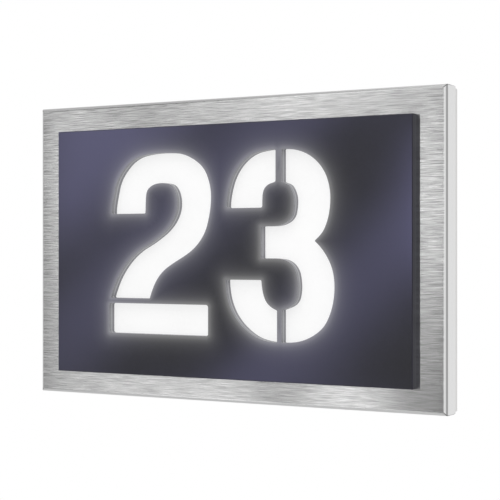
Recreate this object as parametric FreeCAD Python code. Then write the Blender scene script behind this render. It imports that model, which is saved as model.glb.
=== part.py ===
import FreeCAD, Part
import math
import os

os.makedirs("parts", exist_ok=True)

# Illuminated house number sign. X runs to the right as the sign is read, Z up, and +Y into the wall.
# The origin is on the wall, behind the middle of the sign. All sizes are in millimetres.

# Folded stainless front frame
sign_width = 308.0
sign_height = 200.0
frame_depth = 21.0  # from the wall to the frame's front face
frame_sheet = 1.0
frame_flange = 14.0  # how far the folded edges reach back
frame_bend = 2.2  # outside radius of the folds
seam_width = 0.4  # hairline gap where two folded edges meet

# Number panel with the stencilled digits
panel_width = 268.5
panel_height = 167.0
panel_drop = 0.9  # the panel hangs this much below the frame's middle
panel_thick = 6.0
panel_edge = 0.4  # bevel round the panel's front
digit_height = 124.2  # over all, from the foot of the 3 to the top of the 2

# Opal diffuser and what clamps it
window_margin = 3.0  # from the digits to the clamp frame's window
diffuser_lap = 4.5  # how much of the diffuser the clamp frame covers
diffuser_thick = 3.0
diffuser_play = 0.25
diffuser_corner = 3.0
clamp_width = 8.5  # from the diffuser's edge to the clamp frame's outer edge
clamp_thick = 1.5
clamp_screw_out = 4.0  # from the frame's aperture to the screws
clamp_screws_across = 4

# Tray on the wall
tray_sheet = 1.0
tray_play = 0.2  # between the tray's walls and the frame's folded edges
tray_bend = 1.5
rim_width = 5.0  # of the flat ring welded inside the tray's rim
seal_thick = 1.5
seal_width = 4.6
seal_overhang = 0.4  # how far the seal reaches out over the tray's walls
seal_play = 0.2
wall_hole_across = 286.0
wall_hole_up = 178.0
wall_hole_radius = 2.6
drain_radius = 2.0
drain_across = 120.0
drain_back = 4.0  # from the wall to the drain holes

# Spring clips that hold the frame on the tray, and the two grub screws that lock it
clip_spacing = 120.0
clip_width = 10.0
clip_sheet = 0.5
clip_length = 11.5
clip_back = 4.0  # from the wall to the clip's foot
clip_reach = 0.15  # from the clip's nose to the folded edge
clip_window_play = 0.5
clip_nose = 2.5  # half the length of the clip's nose
clip_nose_flat = 0.5
clip_nose_in = 6.9  # from the clip's foot to its nose
clip_rivet_in = 1.8
rivet_radius = 1.2
rivet_head_radius = 2.0
rivet_head = 0.6
lock_across = 220.0
lock_back = 12.0  # from the wall to the grub screws
lock_screw_length = 6.0
lock_nut_height = 5.0
lock_key = 1.0  # half the width of the hexagon for the key
key_hole_radius = 2.4

# White light box, its board and the lights on it
box_margin = 3.0  # from the clamp frame's window to the light box's inside
box_wall = 1.5
box_gap = 0.5  # between the light box's rim and the clamp frame
board_thick = 1.6
board_play = 0.5
light_columns = 6
light_rows = 4
chip_side = 3.2
chip_height = 0.8
lens_radius = 4.5
lens_rim = 1.0
lens_height = 3.4
lens_pocket_play = 0.2
socket_long = 10.0
socket_wide = 8.0
socket_tall = 9.0
socket_down = 20.5  # from the light box's top to the middle of the socket
socket_lead_up = 3.4  # from the board to the nearer lead
notch_play = 1.0

# Driver, at the left of the light box
driver_left = 5.5  # from the frame's left edge to the driver
driver_width = 33.0
driver_length = 70.0
driver_from_top = 35.0  # from the frame's top edge to the driver's upper end
driver_tall = 11.0
driver_corner = 2.0
driver_wall = 1.5
driver_lid = 1.5
driver_lid_lip = 1.0
driver_lug = 8.0
driver_lug_width = 10.0
driver_lug_from_right = 8.5
lid_play = 0.2
live_in = 6.5  # from the driver's left side to the live lead
neutral_in = 12.5
outlet_in = 7.5  # from the driver's left side to the leads for the lights
lead_rise = 17.0  # how far those leads run up before they turn

# Terminal block and earth stud, below the driver
terminal_pitch = 8.0
terminal_ways = 3
terminal_body = 25.0
terminal_deep = 18.0
terminal_tall = 14.0
terminal_middle_up = -36.0
terminal_from_left = 22.0
terminal_lug = 6.0
terminal_lug_thick = 3.0
terminal_lug_high = 8.0
clamp_tube_radius = 2.5
clamp_tube_bore = 1.5
clamp_tube_length = 14.0
tube_play = 0.1
terminal_screw_sunk = 3.0  # from the block's front to its screws
slot_depth = 0.8
wire_level = 5.0  # height of the wires over the tray's floor
stud_from_left = 38.0
stud_from_bottom = 18.0
stud_length = 9.0
ring_sheet = 0.8
ring_radius = 4.0
barrel_radius = 1.6
barrel_length = 5.0
barrel_lift = 0.6  # how much nearer the tray the barrel lies than the wires

# Cable grommet
grommet_from_left = 22.0
grommet_from_bottom = 32.0
grommet_bore = 4.0
grommet_neck = 8.0
grommet_collar = 10.5
grommet_collar_thick = 2.5
grommet_spigot = 6.5
grommet_length = 9.0
grommet_play = 0.1

# Leads and screws
lead_radius = 0.8
earth_lead_radius = 0.9
lead_layer = 3.5  # between the two leads to the lights
lead_in_clamp = 5.0
m3_radius = 1.5
m3_head_radius = 2.8
m3_head = 2.0
m3_clear = 1.7
slot_half = 0.35  # half the width of a screwdriver slot
m4_radius = 2.0
m4_nut_flat = 3.5  # half the width across a nut's flats
m4_nut_height = 3.2
thread_play = 0.06
washer_thick = 0.5
washer_radius = 3.4
panel_thread_depth = 5.0
screw_tip_play = 0.2


def save(name, shape):
    shape.exportStep(os.path.join("parts", name + ".step"))


def block(x0, x1, y0, y1, z0, z1):
    """A box between two corners, given in any order."""
    size = [abs(x1 - x0), abs(y1 - y0), abs(z1 - z0)]
    corner = FreeCAD.Vector(min(x0, x1), min(y0, y1), min(z0, z1))
    return Part.makeBox(size[0], size[1], size[2], corner)


def rod(axis, x, y, z, radius, length):
    """A cylinder that starts at a point and runs along X, Y or Z; a negative length runs backwards."""
    along = {"x": FreeCAD.Vector(1, 0, 0), "y": FreeCAD.Vector(0, 1, 0), "z": FreeCAD.Vector(0, 0, 1)}[axis]
    if length < 0:
        along = along * -1
    return Part.makeCylinder(radius, abs(length), FreeCAD.Vector(x, y, z), along)


def hexagon(axis, x, y, z, half_flat, length):
    """A six-sided prism round an axis along Y or Z."""
    corner = half_flat / math.cos(math.pi / 6)
    points = []
    for step in range(7):
        angle = step * math.pi / 3
        across = corner * math.cos(angle)
        up = corner * math.sin(angle)
        if axis == "y":
            points.append(FreeCAD.Vector(x + across, y, z + up))
        else:
            points.append(FreeCAD.Vector(x + across, y + up, z))
    face = Part.Face(Part.makePolygon(points))
    along = FreeCAD.Vector(0, length, 0) if axis == "y" else FreeCAD.Vector(0, 0, length)
    return face.extrude(along)


def grown(area, by):
    """An area (x0, x1, z0, z1) made larger on all four sides."""
    return (area[0] - by, area[1] + by, area[2] - by, area[3] + by)


def slab(area, y0, y1, corner=0.0):
    """A flat plate over an area, with its four corners rounded."""
    plate = block(area[0], area[1], y0, y1, area[2], area[3])
    if corner > 0:
        plate = plate.makeFillet(corner, edges_along_y(plate))
    return plate


def edges_along_y(shape):
    found = []
    for edge in shape.Edges:
        span = edge.BoundBox
        if span.XLength < 1e-6 and span.ZLength < 1e-6:
            found.append(edge)
    return found


def edges_at(shape, y):
    """The edges that lie wholly at one distance from the wall."""
    found = []
    for edge in shape.Edges:
        span = edge.BoundBox
        if abs(span.YMin - y) < 1e-6 and abs(span.YMax - y) < 1e-6:
            found.append(edge)
    return found


def folded_box(half_width, half_height, y_flat, y_open, sheet, bend):
    """A shallow open box of folded sheet. Its flat side is at y_flat and it is open at y_open."""
    inward = 1 if y_open > y_flat else -1
    outer = block(-half_width, half_width, y_flat, y_open, -half_height, half_height)
    outer = outer.makeFillet(bend, edges_at(outer, y_flat))
    y_in = y_flat + inward * sheet
    inner = block(-half_width + sheet, half_width - sheet, y_in, y_open + inward,
                  -half_height + sheet, half_height - sheet)
    inner = inner.makeFillet(bend - sheet, edges_at(inner, y_in))
    return outer.cut(inner)


def corner_seams(half_width, half_height, y0, y1, start, width):
    """Four thin slits that run out through the corners along their diagonals."""
    slits = []
    for side in (-1, 1):
        for level in (-1, 1):
            slit = block(0, 3 * start, y0, y1, -width / 2, width / 2)
            angle = math.degrees(math.atan2(-level, side))
            slit.rotate(FreeCAD.Vector(0, 0, 0), FreeCAD.Vector(0, 1, 0), angle)
            slit.translate(FreeCAD.Vector(side * (half_width - start), 0, level * (half_height - start)))
            slits.append(slit)
    return slits


def pan_screw(x, z, seat_y, tip_y, radius, head_radius, head):
    """A cross-recessed screw along Y. The head lies on the far side of seat_y from the tip."""
    outward = 1 if seat_y > tip_y else -1
    top = seat_y + outward * head
    body = rod("y", x, seat_y, z, head_radius, outward * head)
    body = body.makeFillet(head * 0.4, edges_at(body, top))
    body = body.fuse(rod("y", x, seat_y, z, radius, tip_y - seat_y))
    slot = head_radius * 0.6
    for across, up in ((slot, slot_half), (slot_half, slot)):
        body = body.cut(block(x - across, x + across, top - outward * head * 0.6, top + outward, z - up, z + up))
    return body


def arc_to(start, heading, end):
    """The arc that leaves start along heading and ends at end, as an edge in the plane y = 0."""
    dx = end[0] - start[0]
    dz = end[1] - start[1]
    turn = heading[0] * dz - heading[1] * dx
    first = FreeCAD.Vector(start[0], 0, start[1])
    last = FreeCAD.Vector(end[0], 0, end[1])
    if abs(turn) < 1e-4 * math.hypot(dx, dz):
        return Part.LineSegment(first, last).toShape()
    radius = (dx * dx + dz * dz) / (2 * turn)
    centre = (start[0] - heading[1] * radius, start[1] + heading[0] * radius)
    middle = ((start[0] + end[0]) / 2 - centre[0], (start[1] + end[1]) / 2 - centre[1])
    stretch = abs(radius) / math.hypot(middle[0], middle[1])
    via = FreeCAD.Vector(centre[0] + middle[0] * stretch, 0, centre[1] + middle[1] * stretch)
    return Part.Arc(first, via, last).toShape()


def two_arcs(start, end):
    """Two arcs that join two points, each given as x, z and heading in degrees, without a kink."""
    t0 = (math.cos(math.radians(start[2])), math.sin(math.radians(start[2])))
    t1 = (math.cos(math.radians(end[2])), math.sin(math.radians(end[2])))
    v = (end[0] - start[0], end[1] - start[1])
    both = v[0] * (t0[0] + t1[0]) + v[1] * (t0[1] + t1[1])
    square = v[0] ** 2 + v[1] ** 2
    bend = 2 * (1 - t0[0] * t1[0] - t0[1] * t1[1])
    if bend < 1e-9:
        reach = square / (4 * (v[0] * t1[0] + v[1] * t1[1]))
    else:
        reach = (math.sqrt(both * both + bend * square) - both) / bend
    middle = ((start[0] + end[0] + reach * (t0[0] - t1[0])) / 2,
              (start[1] + end[1] + reach * (t0[1] - t1[1])) / 2)
    back = arc_to(end[:2], (-t1[0], -t1[1]), middle)
    return [arc_to(start[:2], t0, middle), back]


def cutter(runs, scale, y0, y1, corner):
    """A prism over an outline of smooth runs joined by straight lines."""
    runs = [[(p[0] * scale, p[1] * scale, *p[2:]) for p in run] for run in runs]
    edges = []
    ends = []
    for number, run in enumerate(runs):
        for start, end in zip(run, run[1:]):
            edges += two_arcs(start, end)
        last = run[-1][:2]
        following = runs[(number + 1) % len(runs)][0][:2]
        ends += [run[0][:2], last]
        if math.hypot(following[0] - last[0], following[1] - last[1]) > 1e-6:
            a = FreeCAD.Vector(last[0], 0, last[1])
            b = FreeCAD.Vector(following[0], 0, following[1])
            edges.append(Part.LineSegment(a, b).toShape())
    face = Part.Face(Part.Wire(Part.__sortEdges__(edges)))
    face.translate(FreeCAD.Vector(0, y0, 0))
    prism = face.extrude(FreeCAD.Vector(0, y1 - y0, 0))
    sharp = []
    for edge in edges_along_y(prism):
        spot = edge.Vertexes[0].Point
        if any(math.hypot(spot.x - e[0], spot.z - e[1]) < 1e-3 for e in ends):
            sharp.append(edge)
    return prism.makeFillet(corner * scale, sharp)


def lead(points, radius):
    """A round lead along straight runs joined by tangent arcs. Each arc is as large as its runs allow."""
    spots = [FreeCAD.Vector(*p) for p in points]
    edges = []
    here = spots[0]
    for before, at, after in zip(spots, spots[1:], spots[2:]):
        into = (at - before)
        out = (after - at)
        run = min(into.Length, out.Length)
        half = into.getAngle(out) / 2
        bend = 0.45 * run / math.tan(half)
        set_back = 0.45 * run
        into.normalize()
        out.normalize()
        a = at - into * set_back
        b = at + out * set_back
        inside = out - into
        inside.normalize()
        middle = at + inside * (bend / math.cos(half) - bend)
        edges.append(Part.LineSegment(here, a).toShape())
        edges.append(Part.Arc(a, middle, b).toShape())
        here = b
        print("lead bend radius", round(bend, 1))
    edges.append(Part.LineSegment(here, spots[-1]).toShape())
    path = Part.Wire(edges)
    ring = Part.Wire([Part.makeCircle(radius, spots[0], spots[1] - spots[0])])
    tube = path.makePipeShell([ring], True, False)
    print("lead length", round(path.Length, 1), "fill", round(tube.Volume / (math.pi * radius ** 2 * path.Length), 4))
    return tube


# ---- Levels and areas that the pieces share
frame_front = -frame_depth
frame_inner = frame_front + frame_sheet
frame_rear = frame_front + frame_flange
panel_front = frame_front - panel_thick
diffuser_rear = frame_front + diffuser_thick
clamp_rear = diffuser_rear + clamp_thick
washer_rear = clamp_rear + washer_thick
tray_floor = -tray_sheet
seal_front = frame_inner + seal_play
tray_front = seal_front + seal_thick
tray_half_width = sign_width / 2 - frame_sheet - tray_play
tray_half_height = sign_height / 2 - frame_sheet - tray_play
inner_half_width = tray_half_width - tray_sheet
inner_half_height = tray_half_height - tray_sheet

# ---- Number panel: a thick anthracite plate whose digits are cut right through.
# The outlines are drawn full size, and scaled to the digits' height. A point holds x, z and the edge's heading.
two_stroke = [
    [(-88.3, 24.6, 89), (-85.5, 41.5, 77), (-75.0, 57.8, 41), (-48.0, 65.0, 0), (-24.5, 61.2, -26),
     (-12.0, 49.8, -65), (-8.6, 35.0, -90), (-11.6, 16.2, -107), (-21.0, 1.8, -138),
     (-35.5, -7.4, -152), (-48.6, -16.6, -132), (-57.0, -32.7, -107)],
    [(-89.3, -32.7, 71), (-80.6, -14.8, 54), (-68.5, -2.4, 36), (-54.5, 5.6, 31), (-42.4, 14.5, 45),
     (-34.9, 31.0, 90), (-38.2, 41.6, 128), (-47.3, 44.8, 180), (-57.3, 41.9, -142),
     (-60.2, 34.0, -92), (-60.5, 24.6, -92)],
]
two_base = [[(-90.4, -36.1)], [(-10.9, -36.1)], [(-10.9, -56.7)], [(-90.4, -56.7)]]
three_upper_left = [
    [(3.1, 27.2, 89), (6.2, 43.8, 70), (17.6, 59.0, 36), (39.7, 64.5, 1)],
    [(39.7, 43.6, -165), (32.6, 40.6, -136), (30.1, 34.0, -92), (30.0, 27.2, -90)],
]
three_lower_left = [
    [(2.4, -19.3)],
    [(29.3, -19.3, -86), (31.7, -31.0, -67), (40.8, -38.6, -18)],
    [(40.8, -59.2, 178), (21.9, -54.5, 149), (7.1, -39.4, 118), (2.4, -19.3, 91)],
]
three_right = [
    [(44.0, 64.5, 0), (56.0, 63.0, -14), (70.5, 54.6, -46), (78.8, 32.5, -90), (74.8, 13.8, -116),
     (67.6, 5.8, -143)],
    [(67.6, 5.8, -38), (77.9, -6.7, -62), (81.7, -23.0, -90), (76.6, -44.4, -118),
     (64.0, -55.4, -155), (44.0, -59.2, 180)],
    [(44.0, -38.3, 20), (51.5, -35.2, 34), (55.9, -23.5, 90), (50.8, -8.8, 140), (37.0, -5.4, 180)],
    [(28.9, -5.4)],
    [(28.9, 15.2)],
    [(37.0, 15.2, 0), (48.4, 18.2, 34), (53.0, 31.0, 90), (50.0, 40.2, 126), (44.0, 43.4, 160)],
]
outlines = [(two_stroke, 0.9), (two_base, 1.7), (three_upper_left, 1.3), (three_lower_left, 0.9),
            (three_right, 0.6)]
drawn = [point[1] for runs, corner in outlines for run in runs for point in run]
digit_scale = digit_height / (max(drawn) - min(drawn))
cutters = [cutter(runs, digit_scale, panel_front - 1, frame_front + 1, corner) for runs, corner in outlines]
digits = Part.makeCompound(cutters).BoundBox
digits_area = (digits.XMin, digits.XMax, digits.ZMin, digits.ZMax)

window_area = grown(digits_area, window_margin)
diffuser_area = grown(window_area, diffuser_lap)
aperture_area = grown(diffuser_area, diffuser_play)
clamp_area = grown(diffuser_area, clamp_width)
screw_area = grown(aperture_area, clamp_screw_out)

clamp_screw_spots = []
for count in range(clamp_screws_across):
    share = count / (clamp_screws_across - 1)
    x = screw_area[0] + share * (screw_area[1] - screw_area[0])
    clamp_screw_spots += [(x, screw_area[2]), (x, screw_area[3])]
middle_up = (screw_area[2] + screw_area[3]) / 2
clamp_screw_spots += [(screw_area[0], middle_up), (screw_area[1], middle_up)]

panel = block(-panel_width / 2, panel_width / 2, panel_front, frame_front,
              -panel_height / 2 - panel_drop, panel_height / 2 - panel_drop)
panel = panel.makeChamfer(panel_edge, edges_at(panel, panel_front))
for tool in cutters:
    panel = panel.cut(tool)
for x, z in clamp_screw_spots:
    panel = panel.cut(rod("y", x, frame_front, z, m3_radius + thread_play, -panel_thread_depth))
save("number_panel", panel)

# ---- Front frame: one stainless sheet, folded back on all four sides
frame = folded_box(sign_width / 2, sign_height / 2, frame_front, frame_rear, frame_sheet, frame_bend)
frame = frame.cut(corner_seams(sign_width / 2, sign_height / 2, frame_front - 1, frame_rear + 1,
                               frame_bend, seam_width))
frame = frame.cut(slab(aperture_area, frame_front - 1, frame_inner + 1, diffuser_corner + diffuser_play))
for x, z in clamp_screw_spots:
    frame = frame.cut(rod("y", x, frame_front - 1, z, m3_clear, frame_sheet + 2))
for side in (-1, 1):
    frame = frame.cut(rod("z", side * lock_across / 2, -lock_back, -sign_height / 2 - 1,
                          key_hole_radius, frame_sheet + 2))
save("front_frame", frame)

# ---- Opal diffuser, level with the frame's front, and the gasket and clamp frame behind it
save("opal_diffuser", slab(diffuser_area, frame_front, diffuser_rear, diffuser_corner))

gasket = slab(clamp_area, frame_inner, diffuser_rear, diffuser_corner)
gasket = gasket.cut(slab(aperture_area, frame_inner - 1, diffuser_rear + 1, diffuser_corner + diffuser_play))
clamp = slab(clamp_area, diffuser_rear, clamp_rear, diffuser_corner)
clamp = clamp.cut(slab(window_area, diffuser_rear - 1, clamp_rear + 1, diffuser_corner))
for x, z in clamp_screw_spots:
    hole = rod("y", x, frame_inner - 1, z, m3_clear, clamp_rear - frame_inner + 2)
    gasket = gasket.cut(hole)
    clamp = clamp.cut(hole)
save("diffuser_gasket", gasket)
save("clamp_frame", clamp)

washers = []
screws = []
for x, z in clamp_screw_spots:
    washer = rod("y", x, clamp_rear, z, washer_radius, washer_thick)
    washers.append(washer.cut(rod("y", x, clamp_rear - 1, z, m3_clear, washer_thick + 2)))
    tip = frame_front - panel_thread_depth + screw_tip_play
    screws.append(pan_screw(x, z, washer_rear, tip, m3_radius, m3_head_radius, m3_head))
save("clamp_washers", Part.makeCompound(washers))
save("clamp_screws", Part.makeCompound(screws))

# ---- Light box: a white moulded pan on the tray's floor, with the board and its lights inside
box_inside = grown(window_area, box_margin)
box_outside = grown(box_inside, box_wall)
box_floor = tray_floor - box_wall
box_rim = clamp_rear + box_gap
board_front = box_floor - board_thick
lights_middle = ((box_inside[0] + box_inside[1]) / 2, (box_inside[2] + box_inside[3]) / 2)
light_step_x = (box_inside[1] - box_inside[0]) / light_columns
light_step_z = (box_inside[3] - box_inside[2]) / light_rows

board_screw_spots = []
for across in (-2, 0, 2):
    for up in (-1, 1):
        board_screw_spots.append((lights_middle[0] + across * light_step_x, lights_middle[1] + up * light_step_z))

socket_edge = box_inside[0] + board_play
socket_up = box_outside[3] - socket_down
lead_near = board_front - socket_lead_up
lead_far = lead_near - lead_layer

light_box = slab(box_outside, tray_floor, box_rim, diffuser_corner)
light_box = light_box.cut(slab(box_inside, box_floor, box_rim - 1, diffuser_corner - box_wall))
light_box = light_box.cut(block(box_outside[0] - 1, box_inside[0] + 1, lead_near + lead_radius + notch_play,
                                box_rim - 1, socket_up - socket_long / 2 + notch_play,
                                socket_up + socket_long / 2 - notch_play))
board = slab(grown(box_inside, -board_play), box_floor, board_front)
board_screws = []
for x, z in board_screw_spots:
    hole = rod("y", x, tray_floor + 1, z, m3_clear, board_front - tray_floor - 2)
    light_box = light_box.cut(hole)
    board = board.cut(hole)
    board_screws.append(pan_screw(x, z, board_front, -screw_tip_play, m3_radius, m3_head_radius, m3_head))
save("light_box", light_box)
save("light_board", board)
save("board_screws", Part.makeCompound(board_screws))


def lens(x, z):
    """A domed lens with a pocket for its light chip."""
    cap = lens_height - lens_rim
    ball = (lens_radius ** 2 + cap ** 2) / (2 * cap)
    dome = rod("y", x, board_front, z, lens_radius, -lens_height)
    dome = dome.common(Part.makeSphere(ball, FreeCAD.Vector(x, board_front - lens_height + ball, z)))
    half = chip_side / 2 + lens_pocket_play
    return dome.cut(block(x - half, x + half, board_front + 1, board_front - chip_height - lens_pocket_play,
                          z - half, z + half))


chips = []
lenses = []
for column in range(light_columns):
    for row in range(light_rows):
        x = lights_middle[0] + (column - (light_columns - 1) / 2) * light_step_x
        z = lights_middle[1] + (row - (light_rows - 1) / 2) * light_step_z
        half = chip_side / 2
        chips.append(block(x - half, x + half, board_front, board_front - chip_height, z - half, z + half))
        lenses.append(lens(x, z))
save("light_chips", Part.makeCompound(chips))
save("light_lenses", Part.makeCompound(lenses))

socket = block(socket_edge, socket_edge + socket_wide, board_front, board_front - socket_tall,
               socket_up - socket_long / 2, socket_up + socket_long / 2)
socket = socket.makeChamfer(0.6, edges_at(socket, board_front - socket_tall))
save("board_socket", socket)

# ---- Driver: a potted case with a lid, screwed to the tray by a lug at each end
driver_x0 = -sign_width / 2 + driver_left
driver_x1 = driver_x0 + driver_width
driver_z1 = sign_height / 2 - driver_from_top
driver_z0 = driver_z1 - driver_length
driver_top = tray_floor - driver_tall
lug_x = driver_x1 - driver_lug_from_right
driver_area = (driver_x0, driver_x1, driver_z0, driver_z1)
driver_room = grown(driver_area, -driver_wall)

case = slab(driver_area, tray_floor, driver_top, driver_corner)
case = case.cut(slab(driver_room, tray_floor - driver_wall, driver_top - 1))
lug_area = (lug_x - driver_lug_width / 2, lug_x + driver_lug_width / 2, driver_z0 - driver_lug, driver_z1 + driver_lug)
lug = slab(lug_area, tray_floor, tray_floor - driver_wall, 1.5)
case = case.fuse(lug)
driver_screws = []
driver_screw_spots = [(lug_x, driver_z0 - driver_lug / 2), (lug_x, driver_z1 + driver_lug / 2)]
for x, z in driver_screw_spots:
    case = case.cut(rod("y", x, tray_floor + 1, z, m3_clear, -driver_wall - 2))
    driver_screws.append(pan_screw(x, z, tray_floor - driver_wall, -screw_tip_play, m3_radius,
                                   m3_head_radius, m3_head))
save("driver_case", case.removeSplitter())
save("driver_screws", Part.makeCompound(driver_screws))

lid_area = grown(driver_room, -lid_play)
lid = slab(driver_area, driver_top, driver_top - driver_lid, driver_corner)
lid = lid.fuse(slab(lid_area, driver_top + driver_lid_lip, driver_top))
save("driver_lid", lid.removeSplitter())
save("driver_potting", slab(driver_room, tray_floor - driver_wall, driver_top + driver_lid_lip + lid_play))

# ---- Terminal block with its clamp tubes, screws and fixing screws
terminal_x = -sign_width / 2 + terminal_from_left
terminal_z0 = terminal_middle_up - terminal_deep / 2
terminal_z1 = terminal_middle_up + terminal_deep / 2
terminal_front = tray_floor - terminal_tall
wire_y = tray_floor - wire_level

body = block(terminal_x - terminal_body / 2, terminal_x + terminal_body / 2, tray_floor, terminal_front,
             terminal_z0, terminal_z1)
body = body.fuse(block(terminal_x - terminal_body / 2 - terminal_lug, terminal_x + terminal_body / 2 + terminal_lug,
                       tray_floor, tray_floor - terminal_lug_thick,
                       terminal_middle_up - terminal_lug_high / 2, terminal_middle_up + terminal_lug_high / 2))
way_x = [terminal_x + (way - (terminal_ways - 1) / 2) * terminal_pitch for way in range(terminal_ways)]
tubes = []
terminal_screws = []
for x in way_x:
    body = body.cut(rod("z", x, wire_y, terminal_z0 - 1, clamp_tube_radius + tube_play, terminal_deep + 2))
    tube = rod("z", x, wire_y, terminal_middle_up - clamp_tube_length / 2, clamp_tube_radius, clamp_tube_length)
    tube = tube.cut(rod("z", x, wire_y, terminal_z0, clamp_tube_bore, terminal_deep))
    for offset in (-clamp_tube_length / 4, clamp_tube_length / 4):
        z = terminal_middle_up + offset
        body = body.cut(rod("y", x, wire_y, z, m3_clear, terminal_front - wire_y - 1))
        tube = tube.cut(rod("y", x, wire_y, z, m3_radius + thread_play, -clamp_tube_radius - 1))
        screw_head = terminal_front + terminal_screw_sunk
        screw_tip = wire_y - earth_lead_radius - screw_tip_play
        screw = rod("y", x, screw_head, z, m3_radius, screw_tip - screw_head)
        screw = screw.cut(block(x - m3_head_radius, x + m3_head_radius, screw_head - 1, screw_head + slot_depth,
                                z - slot_half, z + slot_half))
        terminal_screws.append(screw)
    tubes.append(tube)
fixings = []
for side in (-1, 1):
    x = terminal_x + side * (terminal_body + terminal_lug) / 2
    body = body.cut(rod("y", x, tray_floor + 1, terminal_middle_up, m3_clear, -terminal_lug_thick - 2))
    fixings.append(pan_screw(x, terminal_middle_up, tray_floor - terminal_lug_thick, -screw_tip_play,
                             m3_radius, m3_head_radius, m3_head))
save("terminal_block", body.removeSplitter())
save("terminal_tubes", Part.makeCompound(tubes))
save("terminal_screws", Part.makeCompound(terminal_screws))
save("terminal_fixings", Part.makeCompound(fixings))
terminal_fixing_spots = [(terminal_x - (terminal_body + terminal_lug) / 2, terminal_middle_up),
                         (terminal_x + (terminal_body + terminal_lug) / 2, terminal_middle_up)]

# ---- Earth stud with two nuts and a ring terminal between them
stud_x = -sign_width / 2 + stud_from_left
stud_z = -sign_height / 2 + stud_from_bottom
ring_y = tray_floor - m4_nut_height
save("earth_stud", rod("y", stud_x, tray_floor, stud_z, m4_radius, -stud_length))
nuts = []
for y in (tray_floor, ring_y - ring_sheet):
    nut = hexagon("y", stud_x, y, stud_z, m4_nut_flat, -m4_nut_height)
    nuts.append(nut.cut(rod("y", stud_x, y + 1, stud_z, m4_radius + thread_play, -m4_nut_height - 2)))
save("earth_nuts", Part.makeCompound(nuts))
barrel_z = stud_z + ring_radius + 2.0
ring = rod("y", stud_x, ring_y, stud_z, ring_radius, -ring_sheet)
ring = ring.fuse(block(stud_x - 1.2, stud_x + 1.2, ring_y, ring_y - ring_sheet, stud_z + 2.6, barrel_z + 1))
ring = ring.fuse(rod("z", stud_x, wire_y + barrel_lift, barrel_z, barrel_radius, barrel_length))
ring = ring.cut(rod("y", stud_x, ring_y + 1, stud_z, m4_radius + tube_play, -ring_sheet - 2))
ring = ring.cut(rod("z", stud_x, wire_y + barrel_lift, barrel_z + 1, earth_lead_radius + tube_play, barrel_length))
save("earth_ring", ring.removeSplitter())

# ---- Leads: two from the terminal block to the driver, two on to the lights, and the earth lead
inlet_z = terminal_middle_up + clamp_tube_length / 2 - lead_in_clamp
gap = driver_z0 - terminal_z1
live_x = driver_x0 + live_in
neutral_x = driver_x0 + neutral_in
live = [(way_x[0], wire_y, inlet_z), (way_x[0], wire_y, terminal_z1 + gap * 0.35),
        (live_x, wire_y, terminal_z1 + gap * 0.65), (live_x, wire_y, driver_z0)]
neutral = [(way_x[1], wire_y, inlet_z), (way_x[1], wire_y, terminal_z1 + gap * 0.35),
           (neutral_x, wire_y, terminal_z1 + gap * 0.68), (neutral_x, wire_y, driver_z0)]
save("live_lead", lead(live, lead_radius))
save("neutral_lead", lead(neutral, lead_radius))

outlet_x = driver_x0 + outlet_in
turn_z = driver_z1 + lead_rise
down_x = (driver_x1 + box_outside[0]) / 2
for name, level in (("plus_lead", lead_near), ("minus_lead", lead_far)):
    route = [(outlet_x, level, driver_z1), (outlet_x, level, turn_z), (down_x, level, turn_z),
             (down_x, level, socket_up), (socket_edge, level, socket_up)]
    save(name, lead(route, lead_radius))

barrel_top = barrel_z + 1.2
earth_drop = terminal_z0 - barrel_top
earth = [(way_x[2], wire_y, terminal_middle_up - clamp_tube_length / 2 + lead_in_clamp),
         (way_x[2], wire_y, terminal_z0 - earth_drop * 0.35),
         (stud_x, wire_y + barrel_lift, terminal_z0 - earth_drop * 0.65),
         (stud_x, wire_y + barrel_lift, barrel_top)]
save("earth_lead", lead(earth, earth_lead_radius))

# ---- Cable grommet in the tray's back, with the bore for the supply cable
grommet_x = -sign_width / 2 + grommet_from_left
grommet_z = -sign_height / 2 + grommet_from_bottom
grommet = rod("y", grommet_x, 0, grommet_z, grommet_neck, -tray_sheet)
grommet = grommet.fuse(rod("y", grommet_x, tray_floor, grommet_z, grommet_collar, -grommet_collar_thick))
grommet = grommet.fuse(rod("y", grommet_x, tray_floor - grommet_collar_thick, grommet_z, grommet_spigot,
                           -(grommet_length - tray_sheet - grommet_collar_thick)))
grommet = grommet.cut(rod("y", grommet_x, 1, grommet_z, grommet_bore, -grommet_length - 2))
save("cable_grommet", grommet.removeSplitter())

# ---- Wall tray: folded sheet that is screwed to the wall and carries everything inside
tray = folded_box(tray_half_width, tray_half_height, 0, tray_front, tray_sheet, tray_bend)
tray = tray.cut(corner_seams(tray_half_width, tray_half_height, 1, tray_front - 1, tray_bend, seam_width))
for side in (-1, 1):
    for level in (-1, 1):
        tray = tray.cut(rod("y", side * wall_hole_across / 2, 1, level * wall_hole_up / 2,
                            wall_hole_radius, -tray_sheet - 2))
    tray = tray.cut(rod("z", side * drain_across / 2, -drain_back, -tray_half_height - 1,
                        drain_radius, tray_sheet + 2))
    tray = tray.cut(rod("z", side * lock_across / 2, -lock_back, -tray_half_height - 1,
                        m4_radius + tube_play, tray_sheet + 2))
tray = tray.cut(rod("y", grommet_x, 1, grommet_z, grommet_neck + grommet_play, -tray_sheet - 2))
for x, z in board_screw_spots + driver_screw_spots + terminal_fixing_spots:
    tray = tray.cut(rod("y", x, 1, z, m3_radius + thread_play, -tray_sheet - 2))

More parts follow.
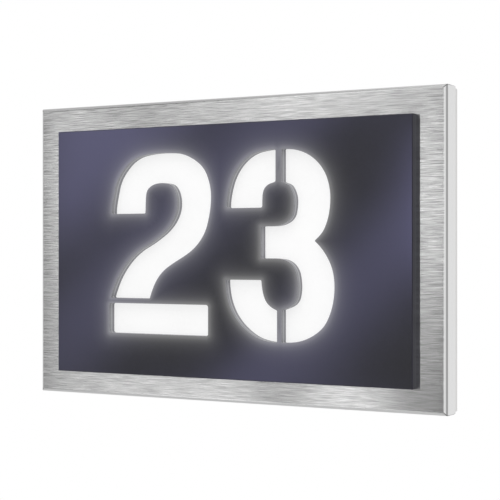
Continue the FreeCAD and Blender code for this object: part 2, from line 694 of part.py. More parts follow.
# ---- Spring clips riveted inside the tray's side walls, with their noses out through windows
clips = []
rivets = []
clip_front = -clip_back - clip_length
nose_y = -clip_back - clip_nose_in
rivet_y = -clip_back - clip_rivet_in
for side in (-1, 1):
    inside = side * inner_half_width
    foot = side * (inner_half_width - clip_sheet)
    nose = side * (sign_width / 2 - frame_sheet - clip_reach)
    for z in (-clip_spacing / 2, clip_spacing / 2):
        corners = [(foot, -clip_back), (inside, -clip_back), (inside, nose_y + clip_nose),
                   (nose, nose_y + clip_nose_flat),
                   (nose, nose_y - clip_nose_flat), (inside, nose_y - clip_nose), (inside, clip_front),
                   (foot, clip_front),
                   (foot, -clip_back)]
        wire = Part.makePolygon([FreeCAD.Vector(x, y, z - clip_width / 2) for x, y in corners])
        clip = Part.Face(wire).extrude(FreeCAD.Vector(0, 0, clip_width))
        hole = rod("x", side * (inner_half_width - 2 * clip_sheet), rivet_y, z, rivet_radius + thread_play,
                   side * 2 * (clip_sheet + tray_sheet))
        clips.append(clip.cut(hole))
        tray = tray.cut(hole)
        tray = tray.cut(block(side * (inner_half_width - 0.1), side * (tray_half_width + 1),
                              nose_y + clip_nose + clip_window_play, nose_y - clip_nose - clip_window_play,
                              z - clip_width / 2 - clip_window_play, z + clip_width / 2 + clip_window_play))
        rivet = rod("x", foot - side * rivet_head, rivet_y, z, rivet_head_radius, side * rivet_head)
        rivet = rivet.fuse(rod("x", foot, rivet_y, z, rivet_radius, side * (clip_sheet + tray_sheet)))
        rivets.append(rivet.removeSplitter())
save("spring_clips", Part.makeCompound(clips))
save("clip_rivets", Part.makeCompound(rivets))
save("wall_tray", tray)

# ---- Flat ring welded inside the tray's rim, and the rubber seal that lies on it
inside_area = (-inner_half_width, inner_half_width, -inner_half_height, inner_half_height)
rim = slab(inside_area, tray_front, tray_front + tray_sheet)
rim = rim.cut(slab(grown(inside_area, -rim_width), tray_front - 1, tray_front + tray_sheet + 1))
save("seal_rim", rim)

seal_out = grown(inside_area, seal_overhang)
seal = slab(seal_out, tray_front, seal_front, 1.5)
seal = seal.cut(slab(grown(seal_out, -seal_width), tray_front + 1, seal_front - 1, 0.5))
save("rim_seal", seal)

# ---- Two grub screws in nuts inside the tray's lower wall, turned in far enough to free the frame
lock_nuts = []
lock_screws = []
wall_top = -inner_half_height
for side in (-1, 1):
    x = side * lock_across / 2
    nut = hexagon("z", x, -lock_back, wall_top, m4_nut_flat, lock_nut_height)
    lock_nuts.append(nut.cut(rod("z", x, -lock_back, wall_top - 1, m4_radius + thread_play, lock_nut_height + 2)))
    low = -tray_half_height + 0.1
    screw = rod("z", x, -lock_back, low, m4_radius, lock_screw_length)
    lock_screws.append(screw.cut(hexagon("z", x, -lock_back, low - 1, lock_key, 3.0)))
save("lock_nuts", Part.makeCompound(lock_nuts))
save("lock_screws", Part.makeCompound(lock_screws))
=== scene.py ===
import math

import bmesh
import bpy
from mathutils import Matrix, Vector, kdtree


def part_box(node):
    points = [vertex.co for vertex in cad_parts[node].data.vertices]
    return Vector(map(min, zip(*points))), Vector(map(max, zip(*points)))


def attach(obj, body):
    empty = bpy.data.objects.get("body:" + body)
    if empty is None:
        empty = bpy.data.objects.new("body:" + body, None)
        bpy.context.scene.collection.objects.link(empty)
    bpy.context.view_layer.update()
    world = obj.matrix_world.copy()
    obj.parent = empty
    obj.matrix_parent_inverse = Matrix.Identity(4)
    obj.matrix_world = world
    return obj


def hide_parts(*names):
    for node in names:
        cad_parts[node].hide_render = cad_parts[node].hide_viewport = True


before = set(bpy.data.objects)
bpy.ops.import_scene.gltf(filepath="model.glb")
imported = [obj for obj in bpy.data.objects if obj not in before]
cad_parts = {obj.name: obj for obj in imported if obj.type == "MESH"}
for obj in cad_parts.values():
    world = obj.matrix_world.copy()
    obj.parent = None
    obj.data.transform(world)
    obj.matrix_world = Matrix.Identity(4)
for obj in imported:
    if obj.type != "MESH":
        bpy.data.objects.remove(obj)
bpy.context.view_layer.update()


# ---- Wall tray
# The pan that is screwed to the wall: 1 mm stainless sheet, cut flat, folded on four sides and left in
# its rolled finish. The ring for the seal is the same sheet, spot-welded inside the rim.

def linear(colour):
    """A #RRGGBB screen colour as the linear RGBA that shaders take."""
    shades = [int(colour[at:at + 2], 16) / 255 for at in (1, 3, 5)]
    return (*[s / 12.92 if s <= 0.04045 else ((s + 0.055) / 1.055) ** 2.4 for s in shades], 1.0)


def add(tree, kind, inputs=None, **settings):
    """Adds one node, sets it up and links what it takes in. Returns the node."""
    node = tree.nodes.new("ShaderNode" + kind)
    for name, value in settings.items():
        setattr(node, name, value)
    for socket, value in (inputs or {}).items():
        if isinstance(value, bpy.types.NodeSocket):
            tree.links.new(value, node.inputs[socket])
        else:
            node.inputs[socket].default_value = value
    return node


def bare(name, **plain):
    """A new material with its plain values on the shader's own sockets. Returns material, tree and shader."""
    made = bpy.data.materials.new(name)
    made.use_nodes = True
    shader = made.node_tree.nodes["Principled BSDF"]
    for socket, value in plain.items():
        shader.inputs[socket.replace("_", " ")].default_value = value
    return made, made.node_tree, shader


def finish(name, grain, drift, colours, roughness, depth, **plain):
    """A material that follows the marks of one way of working.

    grain and drift are the sizes of its fine marks and of its wide clouds along X, Y and Z, and depth is
    the relief of the fine ones, all in millimetres. Colour and roughness go from the first value to the
    second. Returns the material, its tree, its shader and its colour.
    """
    noise_low, noise_high = 0.3, 0.7  # nearly all of the noise lies between these
    made, tree, shader = bare(name, **plain)
    place = add(tree, "TexCoord").outputs["Object"]
    shares = []
    for size in (grain, drift):
        scaled = add(tree, "Mapping", {"Vector": place, "Scale": [1000 / length for length in size]})
        noise = add(tree, "TexNoise", {"Vector": scaled.outputs[0], "Scale": 1.0, "Detail": 3.0,
                                       "Roughness": 0.55})
        share = add(tree, "MapRange", {"Value": noise.outputs["Fac"], "From Min": noise_low,
                                       "From Max": noise_high})
        shares.append(share.outputs["Result"])
    fine, wide = shares
    mixed = add(tree, "Mix", {"Factor": 0.5, "A": wide, "B": fine}).outputs["Result"]
    tone = add(tree, "MixRGB", {"Fac": mixed, "Color1": linear(colours[0]), "Color2": linear(colours[1])})
    dull = add(tree, "MapRange", {"Value": mixed, "To Min": roughness[0], "To Max": roughness[1]})
    bump = add(tree, "Bump", {"Height": fine, "Distance": depth / 1000})
    tree.links.new(tone.outputs[0], shader.inputs["Base Color"])
    tree.links.new(dull.outputs["Result"], shader.inputs["Roughness"])
    tree.links.new(bump.outputs["Normal"], shader.inputs["Normal"])
    return made, tree, shader, tone.outputs[0]


def dress(made, slot, *nodes):
    """Puts a material on CAD nodes, all over."""
    for node in nodes:
        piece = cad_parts[node]
        piece.data.materials.clear()
        piece.data.materials.append(made)


# Cold-rolled stainless, 2B: nearly plain, with faint lines along the roll and a few dull clouds.
rolled = finish("stainless_sheet_cold_rolled", grain=(60, 0.6, 0.6), drift=(45, 45, 24),
                colours=("#D0D0CF", "#E3E3E2"), roughness=(0.26, 0.4), depth=0.004, Metallic=1.0)[0]
dress(rolled, "tray_stainless", "wall_tray", "seal_rim")

# ---- Rim seal
# A strip of closed-cell EPDM foam with glue on its back, laid on the rim. Its cut face shows fine
# burst cells, each with a paler wall.
cell_size = 0.5  # mm, coarser than the real 0.2 mm cells, so that they show
cell_depth = 0.08  # mm
cell_wall = 0.7  # how far from a cell's middle its wall is palest, as a share of its size
foam, tree, shader = bare("epdm_foam", Specular_IOR_Level=0.3)
place = add(tree, "TexCoord").outputs["Object"]
cells = add(tree, "TexVoronoi", {"Vector": place, "Scale": 1000 / cell_size})
walls = add(tree, "MapRange", {"Value": cells.outputs["Distance"], "From Max": cell_wall}).outputs["Result"]
tone = add(tree, "MixRGB", {"Fac": walls, "Color1": linear("#131314"), "Color2": linear("#2E2E2F")})
dull = add(tree, "MapRange", {"Value": walls, "To Min": 0.95, "To Max": 0.8})
bump = add(tree, "Bump", {"Height": walls, "Distance": cell_depth / 1000})
tree.links.new(tone.outputs[0], shader.inputs["Base Color"])
tree.links.new(dull.outputs["Result"], shader.inputs["Roughness"])
tree.links.new(bump.outputs["Normal"], shader.inputs["Normal"])
dress(foam, "foam_rubber", "rim_seal")

# ---- Spring clips
# Four strips of hard spring stainless, stamped and bent, whose noses grip the front's folded edges.
# Rolling left them a warm grey, with fine lines. Blind rivets of plain aluminium hold them in the tray's
# walls.
spring = finish("spring_stainless_strip", grain=(0.4, 0.4, 12), drift=(6, 6, 6),
                colours=("#97958F", "#BBB9B3"), roughness=(0.22, 0.4), depth=0.005, Metallic=1.0)[0]
dress(spring, "spring_steel", "spring_clips")

# The tumbled rivets have a soft, slightly uneven sheen.
rivet = finish("aluminium_tumbled", grain=(0.5, 0.5, 0.5), drift=(2, 2, 2), colours=("#BCBDBE", "#D8D9DA"),
               roughness=(0.35, 0.5), depth=0.01, Metallic=1.0)[0]
dress(rivet, "zinc_screw", "clip_rivets")

# ---- Lock screws
# Two M4 grub screws in nuts under the tray's lower edge. Bright zinc plate, passivated: a silver
# that drifts a little to blue and straw from one place to the next.
zinc = finish("steel_zinc_plated", grain=(0.25, 0.25, 0.25), drift=(3, 3, 3), colours=("#B7BDC8", "#D0CBB8"),
              roughness=(0.22, 0.4), depth=0.004, Metallic=1.0)[0]
dress(zinc, "zinc_screw", "lock_nuts", "lock_screws")

# ---- Cable grommet
# One moulding of soft black EPDM rubber that snaps into the tray's back. The mould's fine spark
# texture leaves it dull, with a faint grey bloom.
rubber = finish("epdm_rubber_moulded", grain=(0.3, 0.3, 0.3), drift=(5, 5, 5), colours=("#19191A", "#333334"),
                roughness=(0.62, 0.82), depth=0.02, Specular_IOR_Level=0.35)[0]
dress(rubber, "foam_rubber", "cable_grommet")

# ---- Driver
# A potted power supply: case and lid are moulded in grey ABS with an eroded texture, and the case is
# filled with black epoxy. Zinc-plated screws hold its lugs.
abs_grey = finish("abs_grey_moulded", grain=(0.35, 0.35, 0.35), drift=(16, 16, 16),
                  colours=("#8F9294", "#9FA2A4"), roughness=(0.45, 0.62), depth=0.03, IOR=1.53)[0]
dress(abs_grey, "grey_plastic", "driver_case", "driver_lid")

# The poured resin sets with a gloss and a slightly wavy top.
epoxy = finish("epoxy_poured", grain=(5, 5, 5), drift=(12, 12, 12), colours=("#111113", "#1F1F22"),
               roughness=(0.15, 0.28), depth=0.15)[0]
dress(epoxy, "potting_resin", "driver_potting")
dress(zinc, "zinc_screw", "driver_screws")

# ---- Terminal block
# Natural polyamide, moulded: milky, a little see-through and slightly glossy. Its clamp tubes are
# plain brass, drawn along their length and gone a little brown.
nylon = finish("polyamide_natural", grain=(0.6, 0.6, 0.6), drift=(6, 6, 6), colours=("#D6D3C5", "#E6E5DC"),
               roughness=(0.35, 0.48), depth=0.01, IOR=1.53, Subsurface_Weight=0.3, Subsurface_Scale=0.001)[0]
dress(nylon, "terminal_plastic", "terminal_block")

brass = finish("brass_drawn", grain=(0.3, 0.3, 3), drift=(2.5, 2.5, 6), colours=("#A98240", "#D6B56A"),
               roughness=(0.42, 0.26), depth=0.006, Metallic=1.0)[0]
dress(brass, "brass_tube", "terminal_tubes")
dress(zinc, "zinc_screw", "terminal_screws", "terminal_fixings")

# ---- Earth point
# A zinc-plated stud pressed into the tray, with two nuts and a ring terminal of copper that was dipped
# in tin, which sets in soft ripples.
dress(zinc, "zinc_screw", "earth_stud", "earth_nuts")
tinned = finish("copper_tinned", grain=(1, 1, 1), drift=(3, 3, 3), colours=("#B9B5AD", "#D9D7D3"),
                roughness=(0.22, 0.4), depth=0.01, Metallic=1.0)[0]
dress(tinned, "tinned_copper", "earth_ring")

# ---- Light box
# A white pan, vacuum-formed in polystyrene with a soft gloss, that keeps the light together. Inside lies
# the board: glass-epoxy with a white solder mask, whose copper tracks stand out as faint raised bands.
pan = finish("polystyrene_white_formed", grain=(1.5, 1.5, 1.5), drift=(25, 25, 25),
             colours=("#E4E4E0", "#F1F1ED"), roughness=(0.32, 0.46), depth=0.02, IOR=1.59)[0]
dress(pan, "white_plastic", "light_box")

light_columns, light_rows = 6, 4
chip_half = 0.0016  # m
chips_low, chips_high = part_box("light_chips")
pitch_x = (chips_high.x - chips_low.x - 2 * chip_half) / (light_columns - 1)
pitch_z = (chips_high.z - chips_low.z - 2 * chip_half) / (light_rows - 1)
track_half, track_fade = 0.0054, 0.0003  # m, one track behind each row of lights
copper = 0.000035  # m, how thick the tracks are
mask, tree, shader, tone = finish("solder_mask_white", grain=(0.4, 0.4, 0.4), drift=(8, 8, 8),
                                  colours=("#DFE2DA", "#EAECE6"), roughness=(0.4, 0.5), depth=0.004)
place = add(tree, "SeparateXYZ", {0: add(tree, "TexCoord").outputs["Object"]})
up = add(tree, "Math", {0: place.outputs["Z"], 1: chips_low.z + chip_half}, operation="SUBTRACT").outputs[0]
off_row = add(tree, "Math", {0: up, 1: pitch_z / 2}, operation="PINGPONG").outputs[0]
off_row = add(tree, "Math", {0: off_row, 1: pitch_z / 4}, operation="SUBTRACT").outputs[0]
off_row = add(tree, "Math", {0: off_row}, operation="ABSOLUTE").outputs[0]
track = add(tree, "MapRange", {"Value": off_row, "From Min": track_half - track_fade,
                               "From Max": track_half + track_fade, "To Min": 1.0, "To Max": 0.0})
tone = add(tree, "MixRGB", {"Fac": track.outputs["Result"], "Color1": tone, "Color2": linear("#E3E7DC")})
bump = add(tree, "Bump", {"Height": track.outputs["Result"], "Distance": copper})
tree.links.new(tone.outputs[0], shader.inputs["Base Color"])
tree.links.new(bump.outputs["Normal"], shader.inputs["Normal"])
dress(mask, "white_board", "light_board")
dress(zinc, "zinc_screw", "board_screws")

# ---- Lights
# 24 small white ceramic packages. A ring of white ceramic stands round each one's disc of yellow
# phosphor, which is poured and slightly grainy.
disc_radius, disc_fade = 0.00125, 0.00008  # m
phosphor, tree, shader, tone = finish("phosphor_poured", grain=(0.15, 0.15, 0.15), drift=(1, 1, 1),
                                      colours=("#E2B733", "#F5DC7C"), roughness=(0.3, 0.5), depth=0.02)
start = (chips_low.x + chip_half - pitch_x / 2, 0, chips_low.z + chip_half - pitch_z / 2)
place = add(tree, "VectorMath", {0: add(tree, "TexCoord").outputs["Object"], 1: start}, operation="SUBTRACT")
cell = add(tree, "VectorMath", {0: place.outputs[0], 1: (pitch_x, 1, pitch_z)}, operation="MODULO")
inside = add(tree, "VectorMath", {0: cell.outputs[0], 1: (pitch_x / 2, 0, pitch_z / 2)}, operation="SUBTRACT")
flat = add(tree, "VectorMath", {0: inside.outputs[0], 1: (1, 0, 1)}, operation="MULTIPLY")
radius = add(tree, "VectorMath", {0: flat.outputs[0]}, operation="LENGTH").outputs["Value"]
ceramic = add(tree, "MapRange", {"Value": radius, "From Min": disc_radius - disc_fade,
                                 "From Max": disc_radius + disc_fade})
tone = add(tree, "MixRGB", {"Fac": ceramic.outputs["Result"], "Color1": tone, "Color2": linear("#EDEDE8")})
tree.links.new(tone.outputs[0], shader.inputs["Base Color"])
dress(phosphor, "light_chip", "light_chips")

# Over each sits a domed lens of clear acrylic, injection-moulded, with faint flow marks.
acrylic = finish("acrylic_clear_moulded", grain=(1, 1, 1), drift=(4, 4, 4), colours=("#F2F7FA", "#FCFDFD"),
                 roughness=(0.02, 0.08), depth=0.003, IOR=1.49, Transmission_Weight=1.0)[0]
dress(acrylic, "clear_lens", "light_lenses")
dress(nylon, "white_plastic", "board_socket")

# ---- Leads
# Stranded copper in extruded PVC, held between its terminals: brown and blue for the mains, red and
# black for the lights, green with a yellow stripe for earth. The sheath is smooth, with a soft gloss.
sheaths = (("live_lead", "brown_insulation", ("#54300F", "#6E4526")),
           ("neutral_lead", "blue_insulation", ("#1B489B", "#2F66BF")),
           ("plus_lead", "red_insulation", ("#961818", "#B82727")),
           ("minus_lead", "black_insulation", ("#131314", "#252526")),
           ("earth_lead", "green_yellow_insulation", ("#2A7730", "#3F9541")))
stripe_from, stripe_full = 0.35, 0.4  # how far the sheath turns to the right where the stripe begins
for node, slot, colours in sheaths:
    pvc, tree, shader, tone = finish("pvc_" + slot, grain=(0.8, 0.8, 0.8), drift=(4, 4, 4), colours=colours,
                                     roughness=(0.33, 0.48), depth=0.008)
    if node == "earth_lead":
        side = add(tree, "SeparateXYZ", {0: add(tree, "TexCoord").outputs["Normal"]}).outputs["X"]
        stripe = add(tree, "MapRange", {"Value": side, "From Min": stripe_from, "From Max": stripe_full})
        tone = add(tree, "MixRGB", {"Fac": stripe.outputs["Result"], "Color1": tone,
                                    "Color2": linear("#E3C71C")})
        tree.links.new(tone.outputs[0], shader.inputs["Base Color"])
    dress(pvc, slot, node)

# ---- Front frame
# One stainless sheet, folded back on all four sides, with a hairline seam at each corner. It was
# brushed flat before folding, so the lines run level across the front and on round the edges.
fine_line = (15, 1, 0.42)  # mm on the unfolded sheet, because the belt's real 0.1 mm scratches wouldn't show
broad_line = (32, 1, 1.1)  # mm
broad_share = 0.27
line_low, line_high = 0.38, 0.62  # the part of the noise that shows, so that the lines have plain edges
line_depth = 0.02  # mm
flat_from = 0.93  # the front's lines fade out where the sheet turns this far
brushed, tree, shader = bare("stainless_sheet_brushed", Metallic=1.0, Anisotropic=1.0,
                             Anisotropic_Rotation=0.25)
coords = add(tree, "TexCoord")
place = add(tree, "SeparateXYZ", {0: coords.outputs["Object"]})
facing = add(tree, "SeparateXYZ", {0: coords.outputs["Normal"]})
upward = add(tree, "Math", {0: facing.outputs["Z"]}, operation="ABSOLUTE").outputs[0]
along = add(tree, "Math", {0: place.outputs["X"], 1: place.outputs["Y"]}).outputs[0]
across = add(tree, "Math", {0: place.outputs["Y"], 1: upward, 2: place.outputs["Z"]},
             operation="MULTIPLY_ADD").outputs[0]
unfolded = add(tree, "CombineXYZ", {"X": along, "Z": across}).outputs[0]
layers = []
for size in (fine_line, broad_line):
    scaled = add(tree, "Mapping", {"Vector": unfolded, "Scale": [1000 / length for length in size]})
    noise = add(tree, "TexNoise", {"Vector": scaled.outputs[0], "Scale": 1.0, "Detail": 2.0,
                                   "Roughness": 0.6})
    layers.append(noise.outputs["Fac"])
lines = add(tree, "Mix", {"Factor": broad_share, "A": layers[0], "B": layers[1]}).outputs["Result"]
lines = add(tree, "MapRange", {"Value": lines, "From Min": line_low,
                               "From Max": line_high}).outputs["Result"]
streaks = add(tree, "MixRGB", {"Fac": lines, "Color1": linear("#BBBBBB"), "Color2": linear("#F2F2F2")})
frontal = add(tree, "Math", {0: facing.outputs["Y"]}, operation="ABSOLUTE").outputs[0]
frontal = add(tree, "MapRange", {"Value": frontal, "From Min": flat_from}).outputs["Result"]
tone = add(tree, "MixRGB", {"Fac": frontal, "Color1": linear("#DADADA"), "Color2": streaks.outputs[0]})
dull = add(tree, "MapRange", {"Value": lines, "To Min": 0.16, "To Max": 0.13})
bump = add(tree, "Bump", {"Height": lines, "Distance": line_depth / 1000, "Strength": 0.09})
tangent = add(tree, "Tangent", direction_type="RADIAL", axis="Z")
tree.links.new(tone.outputs[0], shader.inputs["Base Color"])
tree.links.new(dull.outputs["Result"], shader.inputs["Roughness"])
tree.links.new(bump.outputs["Normal"], shader.inputs["Normal"])
tree.links.new(tangent.outputs[0], shader.inputs["Tangent"])
dress(brushed, "brushed_stainless", "front_frame")

# ---- Diffuser and its clamp
# Opal acrylic, cast and sawn, lit from behind so that the digits glow an even white, a trace brighter
# over each light. A foam gasket and a frame of sheet aluminium hold it, with ten screws from behind.
opal, tree, shader = finish("acrylic_opal_cast", grain=(2, 2, 2), drift=(24, 24, 24),
                            colours=("#8B8B8B", "#949494"), roughness=(0.32, 0.4), depth=0.004,
                            IOR=1.49, Emission_Strength=1.0)[:3]
place = add(tree, "TexCoord").outputs["Object"]
scaled = add(tree, "Mapping", {"Vector": place, "Scale": (1 / pitch_x, 1.0, 1 / pitch_z)})
noise = add(tree, "TexNoise", {"Vector": scaled.outputs[0], "Scale": 1.0, "Detail": 1.0})
glow = add(tree, "MixRGB", {"Fac": noise.outputs["Fac"], "Color1": linear("#D8D8D8"),
                            "Color2": linear("#DADADA")})
tree.links.new(glow.outputs[0], shader.inputs["Emission Color"])
dress(opal, "opal_acrylic", "opal_diffuser")

dress(foam, "foam_rubber", "diffuser_gasket")

# Left as it came from the mill, the aluminium has a soft grey sheen and lines along the roll.
mill = finish("aluminium_mill_finish", grain=(40, 1, 0.5), drift=(30, 30, 30), colours=("#C3C4C6", "#DEDFE0"),
              roughness=(0.3, 0.45), depth=0.005, Metallic=1.0)[0]
dress(mill, "clamp_aluminium", "clamp_frame")
dress(zinc, "zinc_screw", "clamp_washers", "clamp_screws")

# ---- Number panel
# Thick aluminium plate, lacquered anthracite before the digits were milled out of it. A glow of the
# digits' light is painted on its face, so the face is divided finely to hold the distance to their rims.
painted_glow_reach = 0.024  # m, how far the painted glow reaches from the digits' rims
grid_step = 0.0025  # m, the size of the face's mesh
rim_step = 0.0005  # m, between points along the digits' rims
margin = 0.001  # m, how near a face lies to the plate's outside to count as its edge
flat_face = 0.9  # a face that points this far along Y is the plate's front or back
weld, near_cut = 1e-6, 1e-7  # m, how near points are taken to be one, and to lie on a cut
LACQUER, EDGE, MILLED = range(3)  # the material slots of the plate's faces

low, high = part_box("number_panel")
mesh = bmesh.new()
mesh.from_mesh(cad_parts["number_panel"].data)
bmesh.ops.remove_doubles(mesh, verts=mesh.verts[:], dist=weld)
for axis, direction in ((0, Vector((1, 0, 0))), (2, Vector((0, 0, 1)))):
    for step in range(1, int((high[axis] - low[axis]) / grid_step) + 1):
        cut = direction * (low[axis] + step * grid_step)
        bmesh.ops.bisect_plane(mesh, geom=mesh.verts[:] + mesh.edges[:] + mesh.faces[:], plane_co=cut,
                               plane_no=direction, dist=near_cut)
mesh.normal_update()
for face in mesh.faces:
    middle = face.calc_center_median()
    outside = (middle.x < low.x + margin or middle.x > high.x - margin
               or middle.z < low.z + margin or middle.z > high.z - margin)
    face.material_index = LACQUER if abs(face.normal.y) > flat_face else EDGE if outside else MILLED
    face.smooth = False
rim_points = []
for edge in mesh.edges:
    if ({face.material_index for face in edge.link_faces} == {LACQUER, MILLED}
            and edge.verts[0].co.y < low.y + margin):
        first, last = (vertex.co for vertex in edge.verts)
        parts = math.ceil((last - first).length / rim_step)
        rim_points += [first.lerp(last, part / parts) for part in range(parts + 1)]
rim = kdtree.KDTree(len(rim_points))
for number, point in enumerate(rim_points):
    rim.insert(point, number)
rim.balance()
panel_mesh = bpy.data.meshes.new("number_plate")
mesh.to_mesh(panel_mesh)
mesh.free()
away = panel_mesh.attributes.new("away", "FLOAT", "POINT")
for vertex in panel_mesh.vertices:
    away.data[vertex.index].value = min(rim.find(vertex.co)[2] / painted_glow_reach, 1.0)
panel = bpy.data.objects.new("number_plate", panel_mesh)
bpy.context.scene.collection.objects.link(panel)

# Anthracite lacquer, sprayed and baked: near black, with a satin clear coat that looks violet where
# light catches it, and a fine orange peel.
lacquer, tree, shader = finish("lacquer_anthracite", grain=(1.2, 1.2, 1.2), drift=(60, 60, 60),
                               colours=("#31312F", "#353533"), roughness=(0.09, 0.12), depth=0.001,
                               IOR=1.6, Specular_IOR_Level=1.0, Specular_Tint=linear("#BDBBFF"),
                               Emission_Strength=1.0)[:3]
# The lacquer's emission is a painted glow: brightest at the digits' rims, it fades to black away from them.
distance = add(tree, "Attribute", attribute_name="away").outputs["Fac"]
glow = add(tree, "ValToRGB", {"Fac": distance})
glow.color_ramp.interpolation = "B_SPLINE"
glow.color_ramp.elements[0].color = linear("#7A7A79")
glow.color_ramp.elements[1].color = linear("#000000")
painted_glow_fall_off = ((0.05, "#6D6D6C"), (0.12, "#4F4F4E"), (0.24, "#343434"), (0.42, "#1E1E1E"), (0.65, "#090909"))
for far, colour in painted_glow_fall_off:
    glow.color_ramp.elements.new(far).color = linear(colour)
tree.links.new(glow.outputs["Color"], shader.inputs["Emission Color"])

# On the plate's own edge and bevel the lacquer is thinner and duller, over the marks of the saw.
edge_coat = finish("lacquer_anthracite_on_edge", grain=(0.4, 6, 0.4), drift=(30, 30, 30),
                   colours=("#28282A", "#2F2F32"), roughness=(0.38, 0.46), depth=0.002,
                   Specular_IOR_Level=0.25, Specular_Tint=linear("#C2BFFF"))[0]

# The cutter left the digits' walls bare and grey, with upright marks. Half way down they have a paler
# line, and deeper in, towards the diffuser, they are a little darker.
pale_line_depth = 0.003  # m, how far below the face the pale line lies
line_half, line_fade = 0.0005, 0.0002  # m
milled, tree, shader, tone = finish("aluminium_milled", grain=(0.5, 8, 0.5), drift=(8, 8, 8),
                                    colours=("#88888C", "#9E9EA2"), roughness=(0.45, 0.6), depth=0.01,
                                    Specular_IOR_Level=0.3)
deep = add(tree, "SeparateXYZ", {0: add(tree, "TexCoord").outputs["Object"]}).outputs["Y"]
from_line = add(tree, "Math", {0: deep, 1: low.y + pale_line_depth}, operation="SUBTRACT").outputs[0]
beyond_line = add(tree, "MapRange", {"Value": from_line, "From Min": -line_fade, "From Max": line_fade})
tone = add(tree, "MixRGB", {"Fac": beyond_line.outputs["Result"], "Color1": tone, "Color2": linear("#8D8D91")})
near_line = add(tree, "Math", {0: from_line}, operation="ABSOLUTE").outputs[0]
pale = add(tree, "MapRange", {"Value": near_line, "From Min": line_half + line_fade, "From Max": line_half})
tone = add(tree, "MixRGB", {"Fac": pale.outputs["Result"], "Color1": tone.outputs[0],
                            "Color2": linear("#B2B2B5")})
tree.links.new(tone.outputs[0], shader.inputs["Base Color"])
for made in (lacquer, edge_coat, milled):
    panel_mesh.materials.append(made)
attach(panel, "front")
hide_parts("number_panel")

# ---- Studio
# A pale floor well below the sign and a white backdrop all round. Soft boxes and dark flags stand about
# it, and three slanted boxes at the front left show in the lacquer as broad bands.
floor_level = -1.2  # m
floor_half = 1.8  # m
floor_lift = 0.6  # light that the floor gives off to the camera alone, so that it looks as pale as the room
corners = ((-1, -1), (1, -1), (1, 1), (-1, 1))
floor_corners = [(x * floor_half, y * floor_half, floor_level) for x, y in corners]
floor_mesh = bpy.data.meshes.new("floor")
floor_mesh.from_pydata(floor_corners, [], [(0, 1, 2, 3)])
floor = bpy.data.objects.new("floor", floor_mesh)
bpy.context.scene.collection.objects.link(floor)
paper, tree, shader = bare("paper_white", Roughness=0.9, Base_Color=linear("#F2F2F2"),
                           Specular_IOR_Level=0.1, Emission_Color=(1, 1, 1, 1))
seen = add(tree, "LightPath").outputs["Is Camera Ray"]
strength = add(tree, "Math", {0: seen, 1: floor_lift}, operation="MULTIPLY").outputs[0]
tree.links.new(strength, shader.inputs["Emission Strength"])
floor_mesh.materials.append(paper)

world = bpy.data.worlds.new("studio")
bpy.context.scene.world = world
world.use_nodes = True
tree = world.node_tree
tree.nodes.clear()
toward = add(tree, "SeparateXYZ", {0: add(tree, "TexCoord").outputs["Generated"]})
ahead = add(tree, "Math", {0: toward.outputs["Y"], 1: -1.0}, operation="MULTIPLY").outputs[0]
azimuth = add(tree, "Math", {0: toward.outputs["X"], 1: ahead}, operation="ARCTAN2").outputs[0]
height = add(tree, "Math", {0: toward.outputs["Z"]}, operation="ARCSINE").outputs[0]
ways = {"azimuth": azimuth, "height": height,
        "aside": add(tree, "Math", {0: azimuth}, operation="ABSOLUTE").outputs[0],
        "slant": add(tree, "Math", {0: azimuth, 1: height}, operation="SUBTRACT").outputs[0]}


def card(room, level, **edges):
    """Brings one part of the room to a level. For each way across it, edges gives four angles in degrees:
    where the card begins, where it is full, where it stops being full and where it ends."""
    share = 1.0
    for way, (begins, full, last, ends) in edges.items():
        for outer, inner in ((begins, full), (ends, last)):
            side = add(tree, "MapRange", {"Value": ways[way], "From Min": math.radians(outer),
                                          "From Max": math.radians(inner)}, interpolation_type="SMOOTHSTEP")
            share = add(tree, "Math", {0: share, 1: side.outputs["Result"]}, operation="MULTIPLY").outputs[0]
    return add(tree, "Mix", {"Factor": share, "A": room, "B": level}).outputs["Result"]


# Azimuth 0 is straight in front of the sign and 90 is its right; height 90 is overhead.
room = 0.6  # where there is no card
room = card(room, 1.0, azimuth=(-22, -14, 56, 66), height=(-55, -40, 40, 55))  # front right
room = card(room, 1.1, azimuth=(-75, -60, 30, 50), height=(10, 14, 28, 42))  # above the front
room = card(room, 0.45, azimuth=(-56, -48, -37, -32), height=(-40, -28, 28, 40))  # front left
room = card(room, 0.8, azimuth=(-150, -140, -62, -52), height=(-45, -30, 30, 45))  # left
room = card(room, 0.45, azimuth=(68, 76, 134, 142), height=(-60, -45, 45, 60))  # right
room = card(room, 1.0, aside=(138, 146, 200, 210), height=(-45, -32, 32, 45))  # behind
room = card(room, 0.9, aside=(105, 125, 200, 210), height=(35, 48, 80, 85))  # high behind
room = card(room, 0.1, aside=(118, 132, 200, 210), height=(14, 18, 30, 36))  # a flag behind, over the top

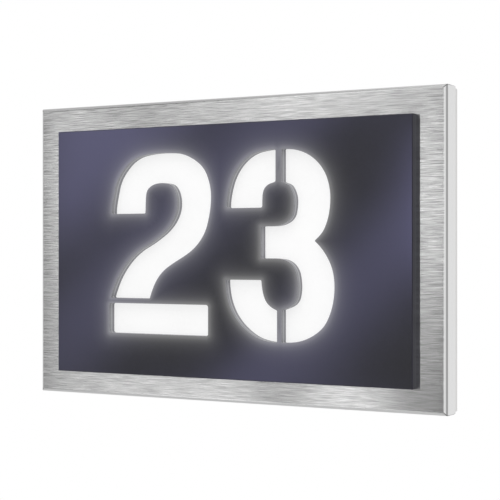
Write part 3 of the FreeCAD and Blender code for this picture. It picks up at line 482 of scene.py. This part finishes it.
# Bright and dark strips over the front's left part, and strips under it, which the frame's upper and
# lower borders show.
strips_above = ((0.8, (-50, -46, -42, -40)),
                (0.02, (-42.5, -40, -35, -33.2)),
                (1.08, (-34, -32.3, -24.8, -23.8)),
                (1.5, (-26.4, -25.8, -24.8, -24)),
                (0.25, (-24.2, -23.2, -18, -12)),
                (1.6, (-30.4, -29.4, -27.6, -26)))
strips_below = ((0.3, (-46, -43, -39, -38)),
                (1.7, (-39.5, -34.6, -31.4, -29.8)),
                (0.3, (-30.5, -29.7, -29, -28)),
                (1.75, (-28.2, -27.4, -25.2, -24.4)),
                (0.2, (-24.7, -23.9, -18, -12)))
for strips, tall in ((strips_above, (5.9, 7.2, 30, 40)), (strips_below, (-40, -30, -7.2, -5.9))):
    for level, broad in strips:
        room = card(room, level, azimuth=broad, height=tall)

# Between the strips the panel shows a dark window with three slanted boxes in it. A flag stands at its
# left end and a small box at its right end.
window = {"azimuth": (-45, -42, -21.5, -18), "height": (-7.2, -5.9, 5.9, 7.2)}
room = card(room, 0.03, **window)
boxes = ((1.6, (-80, -70, -39.6, -36.4)), (0.92, (-37, -34.9, -33.2, -31)), (1.0, (-26.8, -25.6, -24.4, -20)))
for level, slant in boxes:
    room = card(room, level, slant=slant, **window)
room = card(room, 0.1, azimuth=(-50, -46, -38.9, -38.1), height=(-8, -6, 6, 8))
room = card(room, 2.3, azimuth=(-23.5, -23.1, -22.3, -21.6), height=(-1.5, 0.5, 3.5, 6))

# To the camera the backdrop is plain white.
seen = add(tree, "LightPath").outputs["Is Camera Ray"]
room = add(tree, "Mix", {"Factor": seen, "A": room, "B": 1.0}).outputs["Result"]
light = add(tree, "Background", {"Color": (1, 1, 1, 1), "Strength": room})
add(tree, "OutputWorld", {"Surface": light.outputs[0]})

# One large soft lamp stands above and in front.
lamp = bpy.data.lights.new("key_light", "AREA")
lamp.size = 1.4  # m
lamp.energy = 12  # W
key_light = bpy.data.objects.new("key_light", lamp)
key_light.location = (0.2, -1.2, 1.5)
key_light.rotation_euler = (-key_light.location).to_track_quat("-Z", "Y").to_euler()
bpy.context.scene.collection.objects.link(key_light)

# The camera is to the right of the sign and level with its middle, as in the photograph.
view = bpy.data.cameras.new("camera")
view.sensor_width = 36.0
view.lens = 100.26
view.clip_start = 0.05
viewer = bpy.data.objects.new("camera", view)
viewer.location = (0.4705, -0.8038, 0.0)
viewer.rotation_euler = (math.radians(90), 0, math.radians(30.06))
bpy.context.scene.collection.objects.link(viewer)
bpy.context.scene.camera = viewer
bpy.context.scene.view_settings.view_transform = "Standard"
